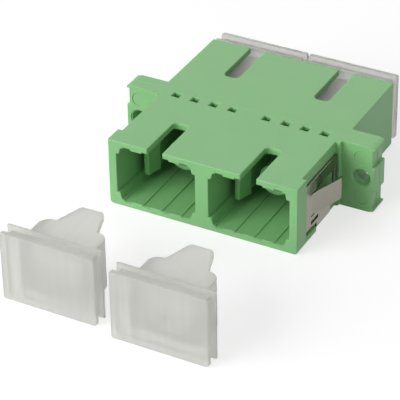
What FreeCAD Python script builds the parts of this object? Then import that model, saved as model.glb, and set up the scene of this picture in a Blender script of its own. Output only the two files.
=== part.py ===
import FreeCAD, Part
import math
import os

import Sketcher

# Duplex SC fibre adapter with flange, spring clip and four dust caps, in millimetres.
# +X runs along the row of ports to the right, +Y from the front ports to the rear ports, +Z up.
# The origin is the middle of the underside, on the plane where the two housing halves meet,
# which is also the optical plane in the middle of the ceramic sleeves.

DRIVING_SIZES = {
    # housing
    "body_width": 25.8,
    "body_height": 9.3,
    "half_length": 13.9,
    "body_corner": 0.5,
    "port_pitch": 12.7,
    "port_width": 10.9,
    "flat_wall": 0.92,
    "guide_width": 0.65,
    "guide_top": 0.4,
    "guide_height": 0.95,
    "floor_groove_width": 1.0,
    "floor_groove_depth": 0.13,
    "groove_pitch": 2.65,
    # keyways and vent windows in the roof
    "keyway_width": 2.1,
    "keyway_front_start": 6.8,
    "keyway_rear_start": 6.1,
    "keyway_corner": 0.7,
    "window_size": 1.0,
    "window_setback": 0.9,
    # flange
    "flange_half_thickness": 1.5,
    "flange_corner": 0.75,
    "flange_notch_depth": 0.35,
    "flange_lip": 0.45,
    "flange_block_height": 3.6,
    "screw_offset": 2.6,
    "screw_hole_radius": 1.15,
    "ear_margin": 1.8,
    "screw_hole_sink": 0.15,
    "ejector_radius": 1.0,
    "ejector_depth": 0.1,
    "ejector_pitch": 2.8,
    # seat of the latch inserts
    "seat_depth": 1.2,
    "seat_step": 0.2,
    "seat_side_clearance": 0.1,
    # recess and strap groove for the clip
    "recess_depth": 0.6,
    "recess_front": 11.3,
    "recess_back": 2.1,
    "recess_shelf": 1.0,
    "recess_step": 8.5,
    "strap_groove_depth": 0.42,
    # spring clip
    "sheet": 0.25,
    "clip_gap": 0.06,
    "clip_end_gap": 0.15,
    "clip_top": 7.75,
    "clip_bend": 0.45,
    "strap_front": 8.2,
    "strap_back": 4.1,
    "leg_rear_foot": 2.3,
    "window_front": 9.5,
    "window_back": 3.0,
    "window_low": 2.75,
    "window_high": 6.05,
    "tongue_gap": 0.15,
    "tongue_bend": 8.9,
    "tongue_crease": 4.7,
    "tongue_end": 3.95,
    "tongue_spread": 1.45,
    "tongue_lip_spread": 0.12,
    "lance_centre": 8.45,
    "lance_length": 2.1,
    "lance_height": 0.5,
    "lance_level": 1.9,
    "relief_width": 0.35,
    "relief_height": 0.7,
    # latch inserts
    "insert_plate": 1.15,
    "insert_notch_depth": 1.0,
    "arm_height": 5.4,
    "arm_outside": 4.4,
    "arm_thickness": 0.8,
    "arm_root": 0.3,
    "arm_root_length": 2.2,
    "hook_reach": 0.5,
    "hook_start": 6.75,
    "hook_undercut": 0.15,
    "hook_end": 8.95,
    "hook_nose": 0.1,
    "holder_radius": 2.1,
    "holder_length": 6.7,
    "holder_lip": 0.6,
    "holder_chamfer": 0.4,
    "ferrule_clearance": 0.2,
    # ceramic sleeves
    "sleeve_bore": 1.25,
    "sleeve_wall": 0.35,
    "sleeve_length": 11.4,
    "sleeve_slit": 0.5,
    "sleeve_clearance": 0.05,
    # dust caps
    "cap_plate_width": 12.5,
    "cap_plate_height": 9.2,
    "cap_plate_thickness": 0.65,
    "cap_plate_corner": 0.3,
    "cap_neck_inset": 0.55,
    "cap_depth": 2.2,
    "cap_flange_width": 12.56,
    "cap_flange_thickness": 0.35,
    "cap_seat_gap": 0.1,
    "plug_side_gap": 0.4,
    "plug_flat_gap": 0.4,
    "plug_wall": 0.6,
    "plug_roof": 0.95,
    "plug_length": 4.6,
    "plug_corner": 1.4,
    "tab_root_width": 5.5,
    "tab_tip_width": 3.3,
    "tab_thickness": 0.9,
    "tab_length": 8.4,
    "tab_corner": 0.35,
    "left_cap_x": -7.6,
    "left_cap_y": -34.9,
    "right_cap_x": 7.45,
    "right_cap_y": -35.9,
}


class Size:
    """A number together with the spreadsheet formula that gives it."""

    def __init__(self, value, formula):
        self.value = float(value)
        self.formula = formula

    def joined(self, sign, other, value):
        return Size(value, "(%s %s %s)" % (self.formula, sign, other.formula))

    def __add__(self, other):
        other = size_of(other)
        return self.joined("+", other, self.value + other.value)

    def __radd__(self, other):
        return size_of(other) + self

    def __sub__(self, other):
        other = size_of(other)
        return self.joined("-", other, self.value - other.value)

    def __rsub__(self, other):
        return size_of(other) - self

    def __mul__(self, other):
        other = size_of(other)
        return self.joined("*", other, self.value * other.value)

    def __rmul__(self, other):
        return size_of(other) * self

    def __truediv__(self, other):
        other = size_of(other)
        return self.joined("/", other, self.value / other.value)

    def __neg__(self):
        return Size(-self.value, "(-%s)" % self.formula)


def size_of(number):
    """Return number as a Size, so plain numbers and sheet sizes mix."""
    if isinstance(number, Size):
        return number
    return Size(number, repr(float(number)))


doc = FreeCAD.newDocument("fibre_adapter")
sheet = doc.addObject("Spreadsheet::Sheet", "Sizes")
for row, (alias, number) in enumerate(DRIVING_SIZES.items(), start=1):
    sheet.set("A%d" % row, alias)
    sheet.set("B%d" % row, str(number))
    sheet.setAlias("B%d" % row, alias)
doc.recompute()


class Sheet:
    """The driving sizes, read by name as Size values."""

    def __getattr__(self, alias):
        return Size(getattr(sheet, alias), "Sizes.%s" % alias)


S = Sheet()


# ---------------------------------------------------------------- sketches and features

def new_body(name):
    """Add an empty body whose label is the piece's name."""
    body = doc.addObject("PartDesign::Body", name)
    body.Label = name
    return body


def plane_of(body, role):
    """Return one of the body's own origin planes."""
    for feature in body.Origin.OriginFeatures:
        if feature.Role == role:
            return feature
    raise ValueError("no plane %s in %s" % (role, body.Name))


class Outline:
    """A sketch on a body's origin plane, with every corner bound to the sheet.

    On XY_Plane the sketch reads X, Y; on XZ_Plane it reads X, Z and faces -Y; on YZ_Plane it
    reads Y, Z and faces +X. offset moves the sketch along the way it faces.
    """

    def __init__(self, body, name, role, offset=0):
        self.sketch = body.newObject("Sketcher::SketchObject", name)
        self.sketch.AttachmentSupport = [(plane_of(body, role), "")]
        self.sketch.MapMode = "FlatFace"
        self.sketch.setExpression("AttachmentOffset.Base.z", size_of(offset).formula)

    def bind(self, kind, value, *where):
        """Add one constraint and tie it to its formula."""
        index = self.sketch.addConstraint(Sketcher.Constraint(kind, *where, value.value))
        self.sketch.setExpression("Constraints[%d]" % index, value.formula)

    def pin_point(self, geometry, end, x, y):
        """Fix one end of a line, or a circle's centre, at x, y."""
        self.bind("DistanceX", x, -1, 1, geometry, end)
        self.bind("DistanceY", y, -1, 1, geometry, end)

    def circle(self, x, y, radius):
        """Draw a circle."""
        x, y, radius = size_of(x), size_of(y), size_of(radius)
        centre = FreeCAD.Vector(x.value, y.value, 0)
        index = self.sketch.addGeometry(Part.Circle(centre, FreeCAD.Vector(0, 0, 1), radius.value))
        self.pin_point(index, 3, x, y)
        self.bind("Radius", radius, index)

    def rectangle(self, low_x, low_y, high_x, high_y, corner=None):
        """Draw a rectangle, with rounded corners if a radius is given."""
        corners = [(low_x, low_y), (high_x, low_y), (high_x, high_y), (low_x, high_y)]
        if corner is not None:
            corners = [(x, y, corner) for x, y in corners]
        self.polygon(corners)

    def polygon(self, corners):
        """Draw a closed outline. A corner is x, y, or x, y, radius where two square edges meet."""
        points = [(size_of(c[0]), size_of(c[1])) for c in corners]
        radii = [size_of(c[2]) if len(c) > 2 else None for c in corners]
        count = len(points)
        starts, ends, bends = [None] * count, [None] * count, [None] * count
        for i in range(count):
            if radii[i] is None:
                starts[i] = ends[i] = points[i]
                continue
            arriving = direction(points[i - 1], points[i])
            leaving = direction(points[i], points[(i + 1) % count])
            starts[i] = moved(points[i], arriving, -radii[i])
            ends[i] = moved(points[i], leaving, radii[i])
            bends[i] = (arriving, leaving)
        lines = []
        for i in range(count):
            a, b = ends[i], starts[(i + 1) % count]
            line = Part.LineSegment(vector(a), vector(b))
            lines.append(self.sketch.addGeometry(line))
            self.pin_point(lines[i], 1, *a)
            if radii[(i + 1) % count] is not None:
                self.pin_point(lines[i], 2, *b)
        for i in range(count):
            before, after = lines[i - 1], lines[i]
            if radii[i] is None:
                self.sketch.addConstraint(Sketcher.Constraint("Coincident", before, 2, after, 1))
            else:
                self.round_corner(before, after, starts[i], bends[i], radii[i])

    def round_corner(self, before, after, start, bend, radius):
        """Join two square edges with a quarter circle."""
        arriving, leaving = bend
        centre = moved(start, leaving, radius)
        turn = arriving[0] * leaving[1] - arriving[1] * leaving[0]
        first = math.atan2(-leaving[1], -leaving[0])
        last = math.atan2(arriving[1], arriving[0])
        circle = Part.Circle(vector(centre), FreeCAD.Vector(0, 0, 1), radius.value)
        if turn > 0:
            arc = self.sketch.addGeometry(Part.ArcOfCircle(circle, first, last))
            joints = ((before, 2, arc, 1), (arc, 2, after, 1))
        else:
            arc = self.sketch.addGeometry(Part.ArcOfCircle(circle, last, first))
            joints = ((before, 2, arc, 2), (arc, 1, after, 1))
        for joint in joints:
            self.sketch.addConstraint(Sketcher.Constraint("Coincident", *joint))
        self.bind("Radius", radius, arc)


def vector(point):
    """Return a sketch point as a vector."""
    return FreeCAD.Vector(point[0].value, point[1].value, 0)


def direction(a, b):
    """Return the unit step of a square edge from a to b."""
    run, rise = b[0].value - a[0].value, b[1].value - a[1].value
    if abs(run) > abs(rise):
        return (math.copysign(1, run), 0)
    return (0, math.copysign(1, rise))


def moved(point, step, distance):
    """Return point moved by distance along a square step."""
    if step[0]:
        return (point[0] + distance * step[0], point[1])
    return (point[0], point[1] + distance * step[1])


def extrude(body, kind, name, outline, length, away=False, both=False):
    """Pad or pocket an outline.

    A pad grows the way its sketch faces and a pocket cuts the other way; away turns it round and
    both lets it run to both sides.
    """
    feature = body.newObject("PartDesign::" + kind, name)
    feature.Profile = outline.sketch
    feature.setExpression("Length", size_of(length).formula)
    feature.Reversed = away
    if both:
        feature.SideType = "Symmetric"
    outline.sketch.Visibility = False
    body.Tip = feature
    return feature


def pad(body, name, outline, length, **sides):
    return extrude(body, "Pad", name, outline, length, **sides)


def pocket(body, name, outline, length, **sides):
    """Cut an outline and check that it took material away."""
    doc.recompute()
    before = body.Tip.Shape.Volume
    feature = extrude(body, "Pocket", name, outline, length, **sides)
    doc.recompute()
    if not feature.Shape.Volume < before - 1e-6:
        raise RuntimeError("%s in %s cuts nothing" % (name, body.Name))
    return feature


def mirror(body, name, originals):
    """Mirror features to the other side of the body's YZ plane."""
    feature = body.newObject("PartDesign::Mirrored", name)
    feature.Originals = originals
    feature.MirrorPlane = (plane_of(body, "YZ_Plane"), [""])
    body.Tip = feature
    return feature


# ---------------------------------------------------------------- shared places

HALF_WIDTH = S.body_width / 2
MID_HEIGHT = S.body_height / 2
SCREW_X = HALF_WIDTH + S.screw_offset
FLOOR = S.flat_wall
CEILING = S.body_height - S.flat_wall
PORT_CENTRES = (-(S.port_pitch / 2), S.port_pitch / 2)
GROOVE_STEPS = (-1.5, -0.5, 0.5, 1.5)
SIDES = {"left": 0, "right": 1}
SEAT_WIDTH = S.port_width + S.seat_step * 2
SEAT_LOW = FLOOR - S.seat_step
SEAT_HIGH = CEILING + S.seat_step


# ---------------------------------------------------------------- housing halves

def add_flange(body, rear):
    """Add the half flange: two ears with a notched rim, joined by the body."""
    outline = Outline(body, "flange_outline", "XZ_Plane")
    edge = SCREW_X + S.ear_margin
    notch = edge - S.flange_notch_depth
    low, high = S.flange_lip, S.body_height - S.flange_lip
    block_low = MID_HEIGHT - S.flange_block_height / 2
    block_high = MID_HEIGHT + S.flange_block_height / 2
    right = [
        (edge - S.flange_corner, 0),
        (edge, S.flange_lip / 2),
        (edge, low),
        (notch, low),
        (notch, block_low),
        (edge, block_low),
        (edge, block_high),
        (notch, block_high),
        (notch, high),
        (edge, high),
        (edge, S.body_height - S.flange_lip / 2),
        (edge - S.flange_corner, S.body_height),
    ]
    left = [(-x, z) for x, z in reversed(right)]
    outline.polygon(right + left)
    pad(body, "flange", outline, S.flange_half_thickness, away=rear)


def cut_ports(body, rear):
    """Cut the two plug cavities with their corner guides and shallow running grooves."""
    outline = Outline(body, "port_outline", "XZ_Plane")
    for centre in PORT_CENTRES:
        wall = S.port_width / 2
        step, foot = wall - S.guide_top, wall - S.guide_width
        low, high = FLOOR + S.guide_height, CEILING - S.guide_height
        right = [(foot, FLOOR), (step, low), (wall, low), (wall, high), (step, high), (foot, CEILING)]
        left = [(-x, z) for x, z in reversed(right)]
        outline.polygon([(centre + x, z) for x, z in right + left])
    pocket(body, "ports", outline, S.half_length, away=not rear)

    grooves = Outline(body, "groove_outline", "XZ_Plane")
    half = S.floor_groove_width / 2
    for centre in PORT_CENTRES:
        for step in GROOVE_STEPS:
            middle = centre + S.groove_pitch * step
            grooves.rectangle(middle - half, FLOOR - S.floor_groove_depth,
                              middle + half, CEILING + S.floor_groove_depth)
    pocket(body, "grooves", grooves, S.half_length, away=not rear)

    seats = Outline(body, "insert_seats", "XZ_Plane")
    for centre in PORT_CENTRES:
        seats.rectangle(centre - SEAT_WIDTH / 2, SEAT_LOW, centre + SEAT_WIDTH / 2, SEAT_HIGH)
    pocket(body, "seats", seats, S.seat_depth, away=not rear)


def cut_keyways(body, start, rear):
    """Cut the open-ended keyway in the roof over each port."""
    outline = Outline(body, "keyway_outline", "XY_Plane", S.body_height)
    half = S.keyway_width / 2
    toward = 1 if rear else -1
    mouth = S.half_length * toward
    for centre in PORT_CENTRES:
        outline.polygon([
            (centre - half, mouth),
            (centre - half, start * toward, S.keyway_corner),
            (centre + half, start * toward, S.keyway_corner),
            (centre + half, mouth),
        ])
    pocket(body, "keyways", outline, S.flat_wall)


def cut_screw_holes(body, rear):
    """Cut the two flange holes and the light countersink on the face that screws go in from."""
    holes = Outline(body, "screw_hole_outline", "XZ_Plane")
    for side in (-1, 1):
        holes.circle(SCREW_X * side, MID_HEIGHT, S.screw_hole_radius)
    pocket(body, "screw_holes", holes, S.flange_half_thickness, away=not rear)
    offset = S.flange_half_thickness
    sink = Outline(body, "hole_rim_outline", "XZ_Plane", -offset if rear else offset)
    for side in (-1, 1):
        sink.circle(SCREW_X * side, MID_HEIGHT, S.screw_hole_radius + S.screw_hole_sink)
    pocket(body, "hole_rims", sink, S.screw_hole_sink, away=rear)


def cut_vent_windows(body):
    """Cut the row of small square windows, one over each ceiling groove."""
    outline = Outline(body, "vent_window_outline", "XY_Plane", S.body_height)
    half = S.window_size / 2
    for centre in PORT_CENTRES:
        for step in GROOVE_STEPS:
            middle = centre + S.groove_pitch * step
            outline.rectangle(middle - half, -S.window_setback - half,
                              middle + half, -S.window_setback + half)
    pocket(body, "vent_windows", outline, S.flat_wall)


def cut_ejector_marks(body):
    """Cut the shallow round moulding marks above and below each flange hole."""
    outline = Outline(body, "ejector_outline", "XZ_Plane", S.flange_half_thickness)
    for side in (-1, 1):
        for level in (-1, 1):
            outline.circle(SCREW_X * side, MID_HEIGHT + S.ejector_pitch * level,
                           S.ejector_radius)
    pocket(body, "ejector_marks", outline, S.ejector_depth)


def cut_clip_recess(body):
    """Cut the side recesses that hold the clip's legs and the groove under its strap."""
    outline = Outline(body, "recess_outline", "YZ_Plane", HALF_WIDTH)
    outline.polygon([
        (-S.recess_front, S.recess_shelf),
        (-S.recess_step, S.recess_shelf),
        (-S.recess_step, 0),
        (-S.recess_back, 0),
        (-S.recess_back, S.body_height),
        (-S.recess_front, S.body_height),
    ])
    recess = pocket(body, "clip_recess", outline, S.recess_depth)
    mirror(body, "clip_recess_left", [recess])
    groove = Outline(body, "strap_groove_outline", "XY_Plane")
    groove.rectangle(-HALF_WIDTH, -S.recess_step, HALF_WIDTH, -S.strap_back + S.clip_end_gap)
    pocket(body, "strap_groove", groove, S.strap_groove_depth, away=True)


def add_housing(name, rear):
    """Build one housing half, from the parting plane outwards."""
    body = new_body(name)
    block = Outline(body, "body_outline", "XZ_Plane")
    block.polygon([
        (-HALF_WIDTH, 0, S.body_corner),
        (HALF_WIDTH, 0, S.body_corner),
        (HALF_WIDTH, S.body_height),
        (-HALF_WIDTH, S.body_height),
    ])
    pad(body, "block", block, S.half_length, away=rear)
    add_flange(body, rear)
    cut_ports(body, rear)
    cut_keyways(body, S.keyway_rear_start if rear else S.keyway_front_start, rear)
    cut_screw_holes(body, rear)
    if not rear:
        cut_vent_windows(body)
        cut_ejector_marks(body)
        cut_clip_recess(body)
    return body


# ---------------------------------------------------------------- spring clip

def add_clip():
    """Build the folded sheet clip: a strap under the body, two legs and two sprung tongues."""
    body = new_body("panel_clip")
    inside = HALF_WIDTH - S.recess_depth + S.clip_gap
    outside = inside + S.sheet
    under = S.strap_groove_depth - S.clip_gap - S.sheet
    over = under + S.sheet
    fold = Outline(body, "fold_outline", "XZ_Plane", S.strap_back)
    inner_bend = S.clip_bend - S.sheet
    fold.polygon([
        (-outside, under, S.clip_bend),
        (outside, under, S.clip_bend),
        (outside, S.clip_top),
        (inside, S.clip_top),
        (inside, over, inner_bend),
        (-inside, over, inner_bend),
        (-inside, S.clip_top),
        (-outside, S.clip_top),
    ])
    pad(body, "fold", fold, S.strap_front - S.strap_back)

    front = S.recess_front - S.clip_end_gap
    back = S.recess_back + S.clip_end_gap
    side = Outline(body, "leg_outline", "YZ_Plane", inside)
    side.polygon([
        (-front, S.recess_shelf + S.clip_end_gap),
        (-S.strap_front, S.recess_shelf + S.clip_end_gap),
        (-S.strap_front, S.leg_rear_foot),
        (-back, S.leg_rear_foot),
        (-back, S.clip_top),
        (-front, S.clip_top),
    ])
    leg = pad(body, "leg", side, S.sheet)

    window = Outline(body, "leg_window_outline", "YZ_Plane", outside)
    window.rectangle(-S.window_front, S.window_low, -S.window_back, S.window_high)
    opening = pocket(body, "leg_window", window, S.sheet)

    lance = Outline(body, "lance_outline", "YZ_Plane", outside)
    lance.rectangle(-S.lance_centre - S.lance_length / 2, S.lance_level - S.lance_height / 2,
                    -S.lance_centre + S.lance_length / 2, S.lance_level + S.lance_height / 2)
    lance.rectangle(-S.strap_front, S.clip_bend, -S.strap_front + S.relief_width,
                    S.clip_bend + S.relief_height)
    slots = pocket(body, "lance_slot", lance, S.sheet)

    spread = outside + S.tongue_spread
    lip = spread + S.tongue_lip_spread
    tongue_low = S.window_low + S.tongue_gap
    tongue_high = S.window_high - S.tongue_gap
    bent = Outline(body, "tongue_outline", "XY_Plane", tongue_low)
    bent.polygon([
        (inside, -S.window_front),
        (outside, -S.window_front),
        (outside, -S.tongue_bend),
        (spread, -S.tongue_crease),
        (lip, -S.tongue_end),
        (lip - S.sheet, -S.tongue_end),
        (spread - S.sheet, -S.tongue_crease),
        (inside, -S.tongue_bend),
    ])
    tongue = pad(body, "tongue", bent, tongue_high - tongue_low)
    mirror(body, "left_leg", [leg, opening, slots, tongue])
    return body


# ---------------------------------------------------------------- latch inserts and sleeves

def turned_about(body, x, y, half_turn):
    """Place a body beside the origin, turned to face the rear where half_turn is true."""
    body.setExpression(".Placement.Base.x", size_of(x).formula)
    body.setExpression(".Placement.Base.y", size_of(y).formula)
    body.setExpression(".Placement.Rotation.Angle", "180 deg" if half_turn else "0 deg")


def cut_plate_notches(body):
    """Notch the top of a latch insert's plate under the vent windows, so that they open inwards."""
    outline = Outline(body, "notch_outline", "XZ_Plane", S.insert_plate)
    half = S.window_size / 2
    for step in GROOVE_STEPS:
        middle = S.groove_pitch * step
        outline.rectangle(middle - half, SEAT_HIGH - S.insert_notch_depth, middle + half, SEAT_HIGH)
    pocket(body, "notches", outline, S.insert_plate - S.window_setback + half)


def add_insert(name, centre, rear):
    """Build a latch insert: base plate, two hooked arms and half of the sleeve holder."""
    body = new_body(name)
    half_width = SEAT_WIDTH / 2 - S.seat_side_clearance
    plate = Outline(body, "plate_outline", "XZ_Plane")
    plate.rectangle(-half_width, SEAT_LOW + S.seat_side_clearance,
                    half_width, SEAT_HIGH - S.seat_side_clearance)
    pad(body, "plate", plate, S.insert_plate)

    if not rear:
        cut_plate_notches(body)

    tube = Outline(body, "holder_outline", "XZ_Plane")
    tube.circle(0, MID_HEIGHT, S.holder_radius)
    pad(body, "holder", tube, S.holder_length)

    arm_inside = S.arm_outside - S.arm_thickness
    hook_inside = arm_inside - S.hook_reach
    arm = Outline(body, "arm_outline", "XY_Plane", MID_HEIGHT)
    arm.polygon([
        (arm_inside - S.arm_root, -S.insert_plate / 2),
        (S.arm_outside + S.arm_root, -S.insert_plate / 2),
        (S.arm_outside + S.arm_root, -S.insert_plate),
        (S.arm_outside, -S.insert_plate - S.arm_root_length),
        (S.arm_outside, -S.hook_end + S.hook_nose),
        (S.arm_outside - S.hook_nose, -S.hook_end),
        (arm_inside + S.hook_nose, -S.hook_end),
        (hook_inside, -S.hook_start - S.hook_undercut),
        (hook_inside + S.hook_undercut, -S.hook_start),
        (arm_inside, -S.hook_start + S.hook_undercut),
        (arm_inside, -S.insert_plate - S.arm_root_length),
        (arm_inside - S.arm_root, -S.insert_plate),
    ])
    right_arm = pad(body, "arm", arm, S.arm_height, both=True)
    mirror(body, "left_arm", [right_arm])

    bore_radius = S.sleeve_bore + S.sleeve_wall + S.sleeve_clearance
    bore = Outline(body, "sleeve_bore_outline", "XZ_Plane")
    bore.circle(0, MID_HEIGHT, bore_radius)
    pocket(body, "sleeve_bore", bore, S.holder_length - S.holder_lip, away=True)
    mouth = Outline(body, "ferrule_mouth_outline", "XZ_Plane")
    mouth.circle(0, MID_HEIGHT, S.sleeve_bore + S.ferrule_clearance)
    pocket(body, "ferrule_mouth", mouth, S.holder_length, away=True)
    rim = Outline(body, "lead_in_outline", "XZ_Plane", S.holder_length)
    rim.circle(0, MID_HEIGHT, S.sleeve_bore + S.ferrule_clearance + S.holder_chamfer)
    lead_in = pocket(body, "lead_in", rim, S.holder_chamfer)
    lead_in.TaperAngle = -45
    turned_about(body, centre, 0, rear)
    return body


def add_sleeve(name, centre):
    """Build a ceramic split sleeve, which lines up the two ferrules."""
    body = new_body(name)
    ring = Outline(body, "ring_outline", "XZ_Plane")
    ring.circle(0, MID_HEIGHT, S.sleeve_bore + S.sleeve_wall)
    ring.circle(0, MID_HEIGHT, S.sleeve_bore)
    pad(body, "tube", ring, S.sleeve_length, both=True)
    slit = Outline(body, "slit_outline", "XY_Plane", MID_HEIGHT)
    slit.rectangle(-S.sleeve_slit / 2, -S.sleeve_length, S.sleeve_slit / 2, S.sleeve_length)
    pocket(body, "slit", slit, S.sleeve_bore + S.sleeve_wall * 2, away=True)
    turned_about(body, centre, 0, False)
    return body


# ---------------------------------------------------------------- dust caps

def add_cap(name, x, y, rear):
    """Build a dust cap whose seating face is at its own y = 0 and whose plug points along +Y."""
    body = new_body(name)
    plate_half = S.cap_plate_width / 2
    plate_low = MID_HEIGHT - S.cap_plate_height / 2
    plate_high = MID_HEIGHT + S.cap_plate_height / 2
    plate = Outline(body, "grip_plate_outline", "XZ_Plane", S.cap_depth - S.cap_plate_thickness)
    plate.rectangle(-plate_half, plate_low, plate_half, plate_high, S.cap_plate_corner)
    pad(body, "grip_plate", plate, S.cap_plate_thickness)

    inset = S.cap_neck_inset
    neck = Outline(body, "neck_outline", "XZ_Plane")
    neck.rectangle(-plate_half + inset, plate_low + inset, plate_half - inset, plate_high - inset)
    pad(body, "neck", neck, S.cap_depth - S.cap_plate_thickness)

    flange = Outline(body, "cap_flange_outline", "XZ_Plane")
    flange.rectangle(-S.cap_flange_width / 2, 0, S.cap_flange_width / 2, S.body_height)
    pad(body, "cap_flange", flange, S.cap_flange_thickness)

    plug_half = S.port_width / 2 - S.guide_width - S.plug_side_gap
    plug_low, plug_high = FLOOR + S.plug_flat_gap, CEILING - S.plug_flat_gap
    plug = Outline(body, "plug_outline", "XY_Plane", plug_low)
    plug.polygon([
        (-plug_half, 0),
        (plug_half, 0),
        (plug_half, S.plug_length, S.plug_corner),
        (-plug_half, S.plug_length, S.plug_corner),
    ])
    pad(body, "plug", plug, plug_high - plug_low)
    hollow = Outline(body, "hollow_outline", "XZ_Plane")
    hollow.rectangle(-plug_half + S.plug_wall, plug_low + S.plug_wall,
                     plug_half - S.plug_wall, plug_high - S.plug_roof)
    pocket(body, "hollow", hollow, S.plug_length)

    tab = Outline(body, "tab_outline", "XY_Plane", plug_high - S.tab_thickness)
    root, tip = S.tab_root_width / 2, S.tab_tip_width / 2
    tab.polygon([
        (-root, S.plug_length - S.plug_corner),
        (root, S.plug_length - S.plug_corner),
        (root, S.plug_length),
        (tip, S.tab_length - S.tab_corner),
        (tip - S.tab_corner, S.tab_length),
        (-tip + S.tab_corner, S.tab_length),
        (-tip, S.tab_length - S.tab_corner),
        (-root, S.plug_length),
    ])
    pad(body, "tab", tab, S.tab_thickness)
    turned_about(body, x, y, rear)
    return body


# ---------------------------------------------------------------- the whole adapter

parts = [
    add_housing("front_housing", False),
    add_housing("rear_housing", True),
    add_clip(),
]
for side, index in SIDES.items():
    port_x = PORT_CENTRES[index]
    parts.append(add_insert("latch_insert_front_" + side, port_x, False))
    parts.append(add_insert("latch_insert_rear_" + side, port_x, True))
    parts.append(add_sleeve("split_sleeve_" + side, port_x))
    parts.append(add_cap("dust_cap_rear_" + side, port_x, S.half_length + S.cap_seat_gap, True))
parts.append(add_cap("dust_cap_front_left", S.left_cap_x, S.left_cap_y, False))
parts.append(add_cap("dust_cap_front_right", S.right_cap_x, S.right_cap_y, False))
doc.recompute()

for item in doc.Objects:
    if "Invalid" in item.State or "Error" in item.State:
        raise RuntimeError("%s failed to build: %s" % (item.Name, item.State))
for part in parts:
    if part.Shape.isNull() or not part.Shape.isValid() or len(part.Shape.Solids) != 1:
        raise RuntimeError("%s is not one sound solid" % part.Label)

os.makedirs("parts", exist_ok=True)
for part in parts:
    part.Shape.exportStep("parts/%s.step" % part.Label)
    box = part.Shape.BoundBox
    print("%-26s %9.3f mm3  x %7.2f..%6.2f  y %7.2f..%6.2f  z %5.2f..%5.2f" % (
        part.Label, part.Shape.Volume, box.XMin, box.XMax, box.YMin, box.YMax, box.ZMin, box.ZMax))
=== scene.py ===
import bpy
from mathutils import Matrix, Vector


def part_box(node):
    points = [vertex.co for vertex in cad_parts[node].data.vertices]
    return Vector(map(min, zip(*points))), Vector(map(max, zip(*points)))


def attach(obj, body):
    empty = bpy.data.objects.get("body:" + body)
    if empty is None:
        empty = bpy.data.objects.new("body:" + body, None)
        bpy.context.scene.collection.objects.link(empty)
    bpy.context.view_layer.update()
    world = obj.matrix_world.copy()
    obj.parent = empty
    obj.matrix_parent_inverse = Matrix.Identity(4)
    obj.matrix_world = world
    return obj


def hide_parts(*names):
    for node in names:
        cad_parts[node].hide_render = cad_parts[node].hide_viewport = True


bl_info = {
    "name": "Duplex fibre adapter",
    "version": (1, 0, 0),
    "blender": (4, 5, 0),
    "location": "View3D > Sidebar > Adapter",
    "description": "Finishes a duplex fibre adapter with its dust caps, and lights it",
    "category": "Object",
}

import math
from itertools import combinations

import bmesh
import bpy
from mathutils import Matrix, Quaternion, Vector

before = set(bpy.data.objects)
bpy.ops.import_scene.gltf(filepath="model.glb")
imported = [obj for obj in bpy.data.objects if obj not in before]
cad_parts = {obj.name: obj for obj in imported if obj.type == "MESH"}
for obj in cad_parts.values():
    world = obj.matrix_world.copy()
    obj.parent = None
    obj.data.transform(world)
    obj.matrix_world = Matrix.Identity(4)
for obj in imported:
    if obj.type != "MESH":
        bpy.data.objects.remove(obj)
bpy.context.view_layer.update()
MM = 0.001

# The body that carries all the pieces but the caps, and the CAD nodes of each group of pieces.
ADAPTER = "adapter"
HOUSING = ("front_housing", "rear_housing")
INSERTS = ("latch_insert_front_left", "latch_insert_front_right",
           "latch_insert_rear_left", "latch_insert_rear_right")
CLIP = ("panel_clip",)
SLEEVES = ("split_sleeve_left", "split_sleeve_right")
CAPS = ("dust_cap_front_left", "dust_cap_front_right",
        "dust_cap_rear_left", "dust_cap_rear_right")

# Faces that meet under FLAT lie in one plane. Only edges over SHARP are rounded, and lines that
# turn less than SHARP run on into each other.
FLAT = math.radians(1)
SHARP = math.radians(50)

# Corners nearer than WELD are one. Lengths that differ by less than TOUCH are the same.
WELD = 0.002 * MM
TOUCH = 0.001 * MM

# A rounding takes at most SHARE_OF_SIDE of the flat side beside it, and SHARE_OF_BEND of the
# radius of the bend it follows. A narrow side still leaves it LEAST_SHARE of its full radius.
SHARE_OF_SIDE = 0.3
SHARE_OF_BEND = 0.8
LEAST_SHARE = 0.2

# A Mix node has inputs and outputs for each kind of value under the same names, so those for a
# colour are reached by their places.
MIX_SHARE = 0
MIX_FIRST = 6
MIX_SECOND = 7
MIX_RESULT = 2


# ---------------------------------------------------------------- colours and nodes

def linear(hex_colour):
    """Turn an sRGB hex value such as 7CB477 into linear red, green and blue."""
    shares = [int(hex_colour[i:i + 2], 16) / 255 for i in (0, 2, 4)]
    return tuple(s / 12.92 if s <= 0.04045 else ((s + 0.055) / 1.055) ** 2.4 for s in shares)


def shade(colour, share):
    """Return a colour made darker or lighter by a share, with its alpha."""
    return tuple(min(1, c * share) for c in colour) + (1,)


def add_node(tree, kind, inputs=(), **settings):
    """Add a node with its settings. An input is a value, or another node's output to link."""
    node = tree.nodes.new(kind)
    for name, value in settings.items():
        setattr(node, name, value)
    for key, value in dict(inputs).items():
        if isinstance(value, bpy.types.NodeSocket):
            tree.links.new(value, node.inputs[key])
        else:
            node.inputs[key].default_value = value
    return node


def new_material(name):
    """Make an empty node material and return it with its tree."""
    material = bpy.data.materials.new(name)
    material.use_nodes = True
    material.node_tree.nodes.clear()
    return material, material.node_tree


# ---------------------------------------------------------------- sizes and colours to change

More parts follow.
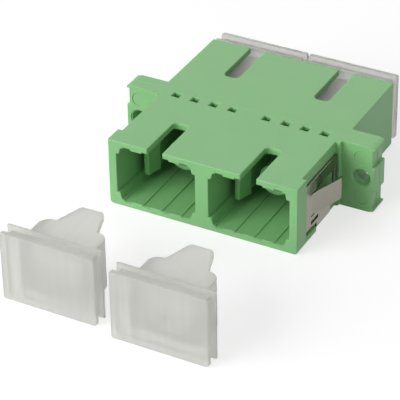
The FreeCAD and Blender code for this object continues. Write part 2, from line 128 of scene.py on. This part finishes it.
class AdapterFinish(bpy.types.PropertyGroup):
    """Colours of the adapter's pieces."""

    housing_colour: bpy.props.FloatVectorProperty(
        name="Housing", description="Green of the moulded housing halves",
        subtype="COLOR", size=3, min=0, max=1, default=linear("7CB477"))
    insert_colour: bpy.props.FloatVectorProperty(
        name="Latch inserts", description="Green of the latch inserts inside the ports",
        subtype="COLOR", size=3, min=0, max=1, default=linear("76AE71"))
    cap_colour: bpy.props.FloatVectorProperty(
        name="Dust caps", description="Milky grey of the dust caps",
        subtype="COLOR", size=3, min=0, max=1, default=linear("E0E0DC"))
    steel_colour: bpy.props.FloatVectorProperty(
        name="Clip", description="Colour of the stainless strip",
        subtype="COLOR", size=3, min=0, max=1, default=linear("9B988A"))
    zirconia_colour: bpy.props.FloatVectorProperty(
        name="Sleeves", description="Ivory white of the ceramic sleeves",
        subtype="COLOR", size=3, min=0, max=1, default=linear("F2EFE4"))


class AdapterSizes(bpy.types.PropertyGroup):
    """Small sizes that the finish adds to the pieces."""

    housing_edge: bpy.props.FloatProperty(
        name="Housing edge", description="Radius of the housing's moulded edges",
        unit="LENGTH", min=0, default=0.14 * MM)
    insert_edge: bpy.props.FloatProperty(
        name="Insert edge", description="Radius of the latch inserts' edges",
        unit="LENGTH", min=0, default=0.08 * MM)
    cap_edge: bpy.props.FloatProperty(
        name="Cap edge", description="Radius of the dust caps' edges",
        unit="LENGTH", min=0, default=0.09 * MM)
    clip_edge: bpy.props.FloatProperty(
        name="Clip edge", description="Radius left by tumbling on the stamped edges",
        unit="LENGTH", min=0, default=0.04 * MM)
    sleeve_chamfer: bpy.props.FloatProperty(
        name="Sleeve end", description="Rounding of the ceramic sleeves' end edges",
        unit="LENGTH", min=0, default=0.12 * MM)


class AdapterStudio(bpy.types.PropertyGroup):
    """Camera and light."""

    azimuth: bpy.props.FloatProperty(
        name="Azimuth", description="Angle of the camera to the right of straight on",
        subtype="ANGLE", default=math.radians(28.63))
    elevation: bpy.props.FloatProperty(
        name="Elevation", description="Angle of the camera above the horizon",
        subtype="ANGLE", default=math.radians(33.44))
    roll: bpy.props.FloatProperty(
        name="Roll", description="Turn of the camera about its own axis",
        subtype="ANGLE", default=math.radians(-1.045))
    distance: bpy.props.FloatProperty(
        name="Distance", description="Distance from the camera to the point it aims at",
        unit="LENGTH", default=273.5 * MM)
    lens: bpy.props.FloatProperty(
        name="Lens", description="Focal length in millimetres", default=197.95)
    key_level: bpy.props.FloatProperty(
        name="Key", description="Share of full level from the large key light", default=1.07)
    fill_level: bpy.props.FloatProperty(
        name="Fill", description="Share of full level from the fill light", default=0.06)
    back_level: bpy.props.FloatProperty(
        name="Back", default=0.14,
        description="Share of full level from the light behind, which puts a sheen on top")
    sky_level: bpy.props.FloatProperty(
        name="Surround", description="Share of full level from all round", default=0.34)


# ---------------------------------------------------------------- materials

def moulded_polyester(name, colour):
    """Green PBT polyester, injection moulded in a spark-eroded tool.

    The tool leaves a fine even grain that breaks up the gloss. Real grain is finer than
    0.16 mm, and is drawn that coarse so that it shows. The pigment is a little cloudy, and
    light goes a few tenths of a millimetre into the walls.
    """
    material, tree = new_material(name)
    grain_size = 0.16 * MM
    cloud_size = 5.0 * MM
    place = add_node(tree, "ShaderNodeTexCoord")
    clouds = add_node(tree, "ShaderNodeTexNoise", {
        "Vector": place.outputs["Object"], "Scale": 1 / cloud_size, "Detail": 3.0})
    tint = add_node(tree, "ShaderNodeMix", {
        MIX_SHARE: clouds.outputs["Fac"], MIX_FIRST: shade(colour, 0.955),
        MIX_SECOND: shade(colour, 1.045)}, data_type="RGBA")
    grain = add_node(tree, "ShaderNodeTexNoise", {
        "Vector": place.outputs["Object"], "Scale": 1 / grain_size, "Detail": 2.0,
        "Roughness": 0.6})
    gloss = add_node(tree, "ShaderNodeMapRange", {
        "Value": grain.outputs["Fac"], "To Min": 0.36, "To Max": 0.52})
    bump = add_node(tree, "ShaderNodeBump", {
        "Height": grain.outputs["Fac"], "Strength": 0.35, "Distance": 0.02 * MM})
    shader = add_node(tree, "ShaderNodeBsdfPrincipled", {
        "Base Color": tint.outputs[MIX_RESULT], "Roughness": gloss.outputs["Result"],
        "IOR": 1.53, "Specular IOR Level": 0.4,
        "Subsurface Weight": 0.12, "Subsurface Radius": (0.35, 1.0, 0.4),
        "Subsurface Scale": 0.5 * MM, "Normal": bump.outputs["Normal"]})
    add_node(tree, "ShaderNodeOutputMaterial", {"Surface": shader.outputs["BSDF"]})
    return material


def moulded_polyethylene(name, colour):
    """Undyed soft polyethylene, moulded.

    It is milky: most of the light goes through a wall, blurred, so the far walls show faintly
    and the shade is even. Faint streaks run up the plates, the way that the melt flowed, and
    the skin is a little uneven.
    """
    material, tree = new_material(name)
    streak_width = 0.7 * MM
    streak_length = 14.0 * MM
    skin_size = 0.3 * MM
    place = add_node(tree, "ShaderNodeTexCoord")
    upright = add_node(tree, "ShaderNodeMapping", {
        "Vector": place.outputs["Object"],
        "Scale": (1 / streak_width, 1 / streak_length, 1 / streak_length)})
    streaks = add_node(tree, "ShaderNodeTexNoise", {
        "Vector": upright.outputs["Vector"], "Scale": 1.0, "Detail": 2.0})
    tint = add_node(tree, "ShaderNodeMix", {
        MIX_SHARE: streaks.outputs["Fac"], MIX_FIRST: shade(colour, 0.94),
        MIX_SECOND: shade(colour, 1.04)}, data_type="RGBA")
    skin = add_node(tree, "ShaderNodeTexNoise", {
        "Vector": place.outputs["Object"], "Scale": 1 / skin_size, "Detail": 1.0})
    gloss = add_node(tree, "ShaderNodeMapRange", {
        "Value": skin.outputs["Fac"], "To Min": 0.52, "To Max": 0.66})
    bump = add_node(tree, "ShaderNodeBump", {
        "Height": skin.outputs["Fac"], "Strength": 0.25, "Distance": 0.02 * MM})
    shader = add_node(tree, "ShaderNodeBsdfPrincipled", {
        "Base Color": tint.outputs[MIX_RESULT], "Roughness": gloss.outputs["Result"],
        "IOR": 1.51, "Specular IOR Level": 0.4, "Transmission Weight": 0.75,
        "Normal": bump.outputs["Normal"]})
    add_node(tree, "ShaderNodeOutputMaterial", {"Surface": shader.outputs["BSDF"]})
    return material


def rolled_stainless(name, colour):
    """Spring-hard stainless strip, cold rolled.

    Fine lines run along the strip and smear the gloss. Real ones are finer than 0.09 mm across,
    and are drawn that coarse so that they show.
    """
    material, tree = new_material(name)
    line_width = 0.09 * MM
    line_length = 2.5 * MM
    place = add_node(tree, "ShaderNodeTexCoord")
    along = add_node(tree, "ShaderNodeMapping", {
        "Vector": place.outputs["Object"],
        "Scale": (1 / line_width, 1 / line_length, 1 / line_width)})
    lines = add_node(tree, "ShaderNodeTexNoise", {
        "Vector": along.outputs["Vector"], "Scale": 1.0, "Detail": 3.0})
    tint = add_node(tree, "ShaderNodeMix", {
        MIX_SHARE: lines.outputs["Fac"], MIX_FIRST: shade(colour, 0.78),
        MIX_SECOND: shade(colour, 1)}, data_type="RGBA")
    gloss = add_node(tree, "ShaderNodeMapRange", {
        "Value": lines.outputs["Fac"], "To Min": 0.1, "To Max": 0.24})
    bump = add_node(tree, "ShaderNodeBump", {
        "Height": lines.outputs["Fac"], "Strength": 0.2, "Distance": 0.01 * MM})
    shader = add_node(tree, "ShaderNodeBsdfPrincipled", {
        "Base Color": tint.outputs[MIX_RESULT], "Metallic": 1.0,
        "Roughness": gloss.outputs["Result"], "Normal": bump.outputs["Normal"]})
    add_node(tree, "ShaderNodeOutputMaterial", {"Surface": shader.outputs["BSDF"]})
    return material


def ground_zirconia(name, colour):
    """Zirconia ceramic, ground and lapped.

    It is dense ivory white with a wet gloss, and the lapping leaves it very faintly mottled.
    """
    material, tree = new_material(name)
    mark_size = 0.25 * MM
    place = add_node(tree, "ShaderNodeTexCoord")
    marks = add_node(tree, "ShaderNodeTexNoise", {
        "Vector": place.outputs["Object"], "Scale": 1 / mark_size, "Detail": 2.0})
    tint = add_node(tree, "ShaderNodeMix", {
        MIX_SHARE: marks.outputs["Fac"], MIX_FIRST: shade(colour, 0.95),
        MIX_SECOND: shade(colour, 1)}, data_type="RGBA")
    gloss = add_node(tree, "ShaderNodeMapRange", {
        "Value": marks.outputs["Fac"], "To Min": 0.1, "To Max": 0.2})
    shader = add_node(tree, "ShaderNodeBsdfPrincipled", {
        "Base Color": tint.outputs[MIX_RESULT], "Roughness": gloss.outputs["Result"],
        "IOR": 2.1, "Subsurface Weight": 0.2,
        "Subsurface Radius": (1.0, 0.9, 0.75), "Subsurface Scale": 0.4 * MM})
    add_node(tree, "ShaderNodeOutputMaterial", {"Surface": shader.outputs["BSDF"]})
    return material


# ---------------------------------------------------------------- moulded edges

def flat_sides(shape):
    """Group the faces that lie in one plane. Return the edges round each face's group."""
    border = {}
    for first in shape.faces:
        if first in border:
            continue
        group, rim, waiting = {first}, set(), [first]
        while waiting:
            for edge in waiting.pop().edges:
                if edge.calc_face_angle(0) > FLAT:
                    rim.add(edge)
                    continue
                fresh = set(edge.link_faces) - group
                group |= fresh
                waiting.extend(fresh)
        border.update(dict.fromkeys(group, rim))
    return border


def side_room(face, edge, rim):
    """Return how far an edge can move across its flat side before it meets the side's rim."""
    start = edge.verts[0].co
    length = edge.calc_length()
    along = (edge.verts[1].co - start) / length
    inward = face.normal.cross(along)
    if next(one for one in edge.link_loops if one.face == face).vert != edge.verts[0]:
        inward = -inward
    room = math.inf
    for other in rim:
        if other == edge:
            continue
        offsets = [vert.co - start for vert in other.verts]
        ends = [(offset.dot(along), offset.dot(inward)) for offset in offsets]
        reaches = [reach for place, reach in ends if -TOUCH < place < length + TOUCH]
        (place_a, reach_a), (place_b, reach_b) = ends
        if abs(place_a - place_b) > TOUCH:
            for place in (0.0, length):
                share = (place - place_a) / (place_b - place_a)
                if 0 <= share <= 1:
                    reaches.append(reach_a + share * (reach_b - reach_a))
        room = min([room] + [reach for reach in reaches if reach > TOUCH])
    return room


def edge_radii(shape, radius):
    """Return each sharp edge's radius.

    It is the full one, or less beside a narrow side or on a tight bend. Edges that run on into
    each other share the smallest radius among them.
    """
    border = flat_sides(shape)
    radii = {}
    for edge in shape.edges:
        if edge.calc_face_angle(0) > SHARP:
            room = min(side_room(face, edge, border[face]) for face in edge.link_faces)
            radii[edge] = min(radius, max(LEAST_SHARE * radius, SHARE_OF_SIDE * room))
    runs = []
    for vert in shape.verts:
        for a, b in combinations([edge for edge in vert.link_edges if edge in radii], 2):
            towards = vert.co - a.other_vert(vert).co
            away = b.other_vert(vert).co - vert.co
            turn = towards.angle(away, math.pi)
            if turn < SHARP:
                runs.append((a, b))
                if turn > FLAT:
                    bend = min(a.calc_length(), b.calc_length()) / turn
                    radii[a] = min(radii[a], SHARE_OF_BEND * bend)
    uneven = True
    while uneven:
        uneven = False
        for a, b in runs:
            if radii[a] != radii[b]:
                radii[a] = radii[b] = min(radii[a], radii[b])
                uneven = True
    return radii


def moulded_copy(name, radius, material):
    """Copy a CAD node, weld its triangles into flat sides and round its sharp edges."""
    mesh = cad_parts[name].data.copy()
    mesh.name = name + "_moulded"
    shape = bmesh.new()
    shape.from_mesh(mesh)
    bmesh.ops.remove_doubles(shape, verts=shape.verts, dist=WELD)
    bmesh.ops.dissolve_limit(shape, angle_limit=FLAT, verts=shape.verts, edges=shape.edges)
    shape.normal_update()
    weight = shape.edges.layers.float.new("bevel_weight_edge")
    for edge, edge_radius in edge_radii(shape, radius).items():
        edge[weight] = edge_radius / radius
    shape.to_mesh(mesh)
    shape.free()
    piece = bpy.data.objects.new(mesh.name, mesh)
    bpy.context.scene.collection.objects.link(piece)
    mesh.materials.clear()
    mesh.materials.append(material)
    mesh.shade_smooth()
    bevel = piece.modifiers.new("edge", "BEVEL")
    bevel.width = radius
    bevel.segments = 3
    bevel.limit_method = "WEIGHT"
    bevel.use_clamp_overlap = False
    bevel.loop_slide = False
    shading = piece.modifiers.new("flat_sides", "WEIGHTED_NORMAL")
    shading.weight = 100
    shading.keep_sharp = True
    return piece


def dress(names, body_of, radius, material):
    """Put a rounded copy in the place of each named node, and ride it on that node's body."""
    for name in names:
        piece = moulded_copy(name, radius, material)
        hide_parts(name)
        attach(piece, body_of(name))


# ---------------------------------------------------------------- operators

class AdapterOperator:
    """What all the operators share."""

    bl_options = {"REGISTER", "UNDO"}

    @property
    def finish(self):
        """The colours to use"""
        return bpy.context.scene.adapter_finish

    @property
    def sizes(self):
        """The sizes to use"""
        return bpy.context.scene.adapter_sizes

    @property
    def studio(self):
        """The camera and light to use"""
        return bpy.context.scene.adapter_studio


class ADAPTER_OT_housing(AdapterOperator, bpy.types.Operator):
    """Mould the two housing halves with their rounded edges"""

    bl_idname = "adapter.housing"
    bl_label = "Housing halves"

    def execute(self, context):
        green = moulded_polyester("moulded_green_polyester", self.finish.housing_colour)
        dress(HOUSING, lambda name: ADAPTER, self.sizes.housing_edge, green)
        return {"FINISHED"}


class ADAPTER_OT_inserts(AdapterOperator, bpy.types.Operator):
    """Mould the latch inserts with their hooks and sleeve holders"""

    bl_idname = "adapter.inserts"
    bl_label = "Latch inserts"

    def execute(self, context):
        green = moulded_polyester("moulded_green_insert", self.finish.insert_colour)
        dress(INSERTS, lambda name: ADAPTER, self.sizes.insert_edge, green)
        return {"FINISHED"}


class ADAPTER_OT_clip(AdapterOperator, bpy.types.Operator):
    """Round the spring clip's stamped edges and give it a rolled stainless strip finish"""

    bl_idname = "adapter.clip"
    bl_label = "Spring clip"

    def execute(self, context):
        steel = rolled_stainless("rolled_stainless_strip", self.finish.steel_colour)
        dress(CLIP, lambda name: ADAPTER, self.sizes.clip_edge, steel)
        return {"FINISHED"}


def sleeve_tree(material):
    """Build the node tree of a pair of split sleeves.

    A wall section with rounded corners is swept round an open ring. The ring's axis is turned
    to lie along Y, with the slit up. The two axes are Pitch apart, at Height.
    """
    tree = bpy.data.node_groups.new("split_sleeve", "GeometryNodeTree")
    for name in ("Radius", "Wall", "Length", "Slit", "Rounding", "Pitch", "Height"):
        tree.interface.new_socket(name, in_out="INPUT", socket_type="NodeSocketFloat")
    tree.interface.new_socket("Geometry", in_out="OUTPUT", socket_type="NodeSocketGeometry")
    given = add_node(tree, "NodeGroupInput").outputs

    slit_angle = add_node(tree, "ShaderNodeMath", {
        0: given["Slit"], 1: given["Radius"]}, operation="DIVIDE")
    sweep = add_node(tree, "ShaderNodeMath", {
        0: 2 * math.pi, 1: slit_angle.outputs[0]}, operation="SUBTRACT")
    start = add_node(tree, "ShaderNodeMath", {
        0: slit_angle.outputs[0], 1: 2.0}, operation="DIVIDE")
    ring = add_node(tree, "GeometryNodeCurveArc", {
        "Resolution": 96, "Radius": given["Radius"], "Start Angle": start.outputs[0],
        "Sweep Angle": sweep.outputs[0]}, mode="RADIUS")
    section = add_node(tree, "GeometryNodeCurvePrimitiveQuadrilateral", {
        "Width": given["Wall"], "Height": given["Length"]}, mode="RECTANGLE")
    rounded = add_node(tree, "GeometryNodeFilletCurve", {
        "Curve": section.outputs["Curve"], "Radius": given["Rounding"], "Count": 4},
        mode="POLY")
    tube = add_node(tree, "GeometryNodeCurveToMesh", {
        "Curve": ring.outputs["Curve"], "Profile Curve": rounded.outputs["Curve"],
        "Fill Caps": True})
    slit_up = add_node(tree, "GeometryNodeTransform", {
        "Geometry": tube.outputs["Mesh"],
        "Rotation": (math.radians(-90), math.radians(-90), 0)})
    left = add_node(tree, "ShaderNodeMath", {
        0: given["Pitch"], 1: -0.5}, operation="MULTIPLY")
    first = add_node(tree, "ShaderNodeCombineXYZ", {
        "X": left.outputs[0], "Z": given["Height"]})
    step = add_node(tree, "ShaderNodeCombineXYZ", {"X": given["Pitch"]})
    pair = add_node(tree, "GeometryNodeMeshLine", {
        "Count": 2, "Start Location": first.outputs[0], "Offset": step.outputs[0]})
    placed = add_node(tree, "GeometryNodeInstanceOnPoints", {
        "Points": pair.outputs["Mesh"], "Instance": slit_up.outputs["Geometry"]})
    real = add_node(tree, "GeometryNodeRealizeInstances", {
        "Geometry": placed.outputs["Instances"]})
    painted = add_node(tree, "GeometryNodeSetMaterial", {
        "Geometry": real.outputs["Geometry"], "Material": material})
    add_node(tree, "NodeGroupOutput", {"Geometry": painted.outputs["Geometry"]})
    return tree


def grown(name, tree, values):
    """Evaluate a node tree with its named inputs set, and return a plain mesh piece."""
    seed = bpy.data.objects.new(name + "_seed", bpy.data.meshes.new(name + "_seed"))
    bpy.context.scene.collection.objects.link(seed)
    modifier = seed.modifiers.new("grow", "NODES")
    modifier.node_group = tree
    for item in tree.interface.items_tree:
        if item.in_out == "INPUT" and item.name in values:
            modifier[item.identifier] = values[item.name]
    shown = seed.evaluated_get(bpy.context.evaluated_depsgraph_get())
    mesh = bpy.data.meshes.new_from_object(shown)
    bpy.data.objects.remove(seed)
    mesh.name = name
    piece = bpy.data.objects.new(name, mesh)
    bpy.context.scene.collection.objects.link(piece)
    return piece


class ADAPTER_OT_sleeves(AdapterOperator, bpy.types.Operator):
    """Grow the two split ceramic sleeves from their node tree"""

    bl_idname = "adapter.sleeves"
    bl_label = "Split sleeves"

    def execute(self, context):
        ceramic = ground_zirconia("ground_zirconia", self.finish.zirconia_colour)
        wall = 0.35 * MM
        slit = 0.5 * MM
        crease = math.radians(40)
        boxes = [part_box(name) for name in SLEEVES]
        low, high = boxes[0]
        outer = (high.x - low.x) / 2
        middles = [(a + b) / 2 for a, b in boxes]
        piece = grown("split_sleeves", sleeve_tree(ceramic), {
            "Radius": outer - wall / 2, "Wall": wall, "Length": high.y - low.y,
            "Slit": slit, "Rounding": self.sizes.sleeve_chamfer,
            "Pitch": middles[1].x - middles[0].x, "Height": low.z + outer})
        piece.data.shade_smooth()
        piece.data.set_sharp_from_angle(angle=crease)
        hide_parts(*SLEEVES)
        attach(piece, ADAPTER)
        return {"FINISHED"}


class ADAPTER_OT_caps(AdapterOperator, bpy.types.Operator):
    """Mould the four dust caps"""

    bl_idname = "adapter.caps"
    bl_label = "Dust caps"

    def execute(self, context):
        milky = moulded_polyethylene("moulded_milky_polyethylene", self.finish.cap_colour)
        dress(CAPS, lambda name: name, self.sizes.cap_edge, milky)
        return {"FINISHED"}


# ---------------------------------------------------------------- studio

def softbox(name, direction, distance, side, level, aim):
    """Add a square lamp that lights a surface at aim, facing it, to a share of full level."""
    lamp = bpy.data.lights.new(name, "AREA")
    lamp.shape = "SQUARE"
    lamp.size = side
    lamp.energy = level * math.pi ** 2 * distance ** 2
    box = bpy.data.objects.new(name, lamp)
    bpy.context.scene.collection.objects.link(box)
    box.location = aim + direction.normalized() * distance
    box.rotation_mode = "QUATERNION"
    box.rotation_quaternion = (-direction).to_track_quat("-Z", "Y")


def seen_share(tree):
    """Give 1 where a ray from the camera arrives, straight, mirrored or through a clear piece.

    Rays that only carry light give 0, so what is white to look at need not light the pieces.
    """
    ray = add_node(tree, "ShaderNodeLightPath").outputs
    straight = add_node(tree, "ShaderNodeMath", {
        0: ray["Is Camera Ray"], 1: ray["Is Glossy Ray"]}, operation="MAXIMUM")
    seen = add_node(tree, "ShaderNodeMath", {
        0: straight.outputs[0], 1: ray["Is Transmission Ray"]}, operation="MAXIMUM")
    return seen.outputs[0]


def white_card():
    """White card.

    It lights the pieces as plain card does. To look at, it has some light of its own on top of
    what it gives back, which together come to full white where no shadow falls.
    """
    material, tree = new_material("white_card")
    card = add_node(tree, "ShaderNodeBsdfDiffuse", {"Color": (0.8, 0.8, 0.8, 1)})
    seen_card = add_node(tree, "ShaderNodeBsdfDiffuse", {"Color": (0.4, 0.4, 0.4, 1)})
    lift = add_node(tree, "ShaderNodeEmission", {"Color": (1, 1, 1, 1), "Strength": 0.66})
    bright = add_node(tree, "ShaderNodeAddShader", {
        0: seen_card.outputs["BSDF"], 1: lift.outputs["Emission"]})
    surface = add_node(tree, "ShaderNodeMixShader", {
        0: seen_share(tree), 1: card.outputs["BSDF"], 2: bright.outputs["Shader"]})
    add_node(tree, "ShaderNodeOutputMaterial", {"Surface": surface.outputs["Shader"]})
    return material


def white_surround(level):
    """White surround. It gives even light from all round, and is white behind everything."""
    world = bpy.data.worlds.new("white_surround")
    bpy.context.scene.world = world
    world.use_nodes = True
    tree = world.node_tree
    tree.nodes.clear()
    strength = add_node(tree, "ShaderNodeMapRange", {
        "Value": seen_share(tree), "To Min": level, "To Max": 1.0})
    light = add_node(tree, "ShaderNodeBackground", {
        "Color": (1, 1, 1, 1), "Strength": strength.outputs["Result"]})
    add_node(tree, "ShaderNodeOutputWorld", {"Surface": light.outputs["Background"]})


def lay_floor():
    """Lay the white card a hair under the housing, so that the two don't flicker from below."""
    half_side = 3.0
    gap = 0.03 * MM
    card = bmesh.new()
    bmesh.ops.create_grid(card, x_segments=1, y_segments=1, size=half_side,
                          matrix=Matrix.Translation((0, 0, -gap)))
    mesh = bpy.data.meshes.new("floor")
    card.to_mesh(mesh)
    card.free()
    mesh.materials.append(white_card())
    floor = bpy.data.objects.new("floor", mesh)
    bpy.context.scene.collection.objects.link(floor)


def stand_camera(studio, aim):
    """Stand the camera at its distance from aim, looking at it, and make it the scene's."""
    nearest_seen = 10 * MM
    camera = bpy.data.objects.new("camera", bpy.data.cameras.new("camera"))
    bpy.context.scene.collection.objects.link(camera)
    across, along = math.sin(studio.azimuth), -math.cos(studio.azimuth)
    level, up = math.cos(studio.elevation), math.sin(studio.elevation)
    back = Vector((across * level, along * level, up))
    turn = Quaternion((0, 0, 1), studio.roll)
    camera.location = aim + back * studio.distance
    camera.rotation_mode = "QUATERNION"
    camera.rotation_quaternion = (-back).to_track_quat("-Z", "Y") @ turn
    camera.data.lens = studio.lens
    camera.data.clip_start = nearest_seen
    bpy.context.scene.camera = camera


class ADAPTER_OT_stage(AdapterOperator, bpy.types.Operator):
    """Set up the floor, the lamps and the camera"""

    bl_idname = "adapter.stage"
    bl_label = "Studio"

    def execute(self, context):
        studio = self.studio
        # A place on the floor that all of them point at.
        aim = Vector((-3.16, -8.45, 0)) * MM
        lay_floor()
        white_surround(studio.sky_level)
        softbox("key_light", Vector((-0.8, -1.2, 0.8)), distance=0.6, side=0.45,
                level=studio.key_level, aim=aim)
        softbox("fill_light", Vector((0.9, -0.6, 0.7)), distance=0.7, side=0.5,
                level=studio.fill_level, aim=aim)
        softbox("back_light", Vector((-0.4, 0.73, 0.6)), distance=0.7, side=0.5,
                level=studio.back_level, aim=aim)
        stand_camera(studio, aim)
        context.scene.view_settings.view_transform = "Standard"
        return {"FINISHED"}


# ---------------------------------------------------------------- sidebar and registering

class ADAPTER_PT_sidebar(bpy.types.Panel):
    """The adapter's pieces, in the order they are made"""

    bl_idname = "ADAPTER_PT_sidebar"
    bl_label = "Duplex fibre adapter"
    bl_space_type = "VIEW_3D"
    bl_region_type = "UI"
    bl_category = "Adapter"

    def draw(self, context):
        for group in GROUPS:
            settings = getattr(context.scene, group)
            box = self.layout.box()
            for name in settings.bl_rna.properties.keys():
                if name not in ("rna_type", "name"):
                    box.prop(settings, name)
        for operator in OPERATORS:
            self.layout.operator(operator.bl_idname)


GROUPS = {"adapter_sizes": AdapterSizes, "adapter_finish": AdapterFinish,
          "adapter_studio": AdapterStudio}
OPERATORS = (ADAPTER_OT_housing, ADAPTER_OT_inserts, ADAPTER_OT_clip, ADAPTER_OT_sleeves,
             ADAPTER_OT_caps, ADAPTER_OT_stage)


def register():
    """Add the settings, operators and panel to Blender."""
    for name, group in GROUPS.items():
        bpy.utils.register_class(group)
        setattr(bpy.types.Scene, name, bpy.props.PointerProperty(type=group))
    for operator in OPERATORS:
        bpy.utils.register_class(operator)
    bpy.utils.register_class(ADAPTER_PT_sidebar)


def unregister():
    """Take them out again."""
    bpy.utils.unregister_class(ADAPTER_PT_sidebar)
    for operator in reversed(OPERATORS):
        bpy.utils.unregister_class(operator)
    for name, group in GROUPS.items():
        delattr(bpy.types.Scene, name)
        bpy.utils.unregister_class(group)


def main():
    """Make every piece and the studio."""
    register()
    bpy.ops.adapter.housing()
    bpy.ops.adapter.inserts()
    bpy.ops.adapter.clip()
    bpy.ops.adapter.sleeves()
    bpy.ops.adapter.caps()
    bpy.ops.adapter.stage()


if __name__ == "__main__":
    main()
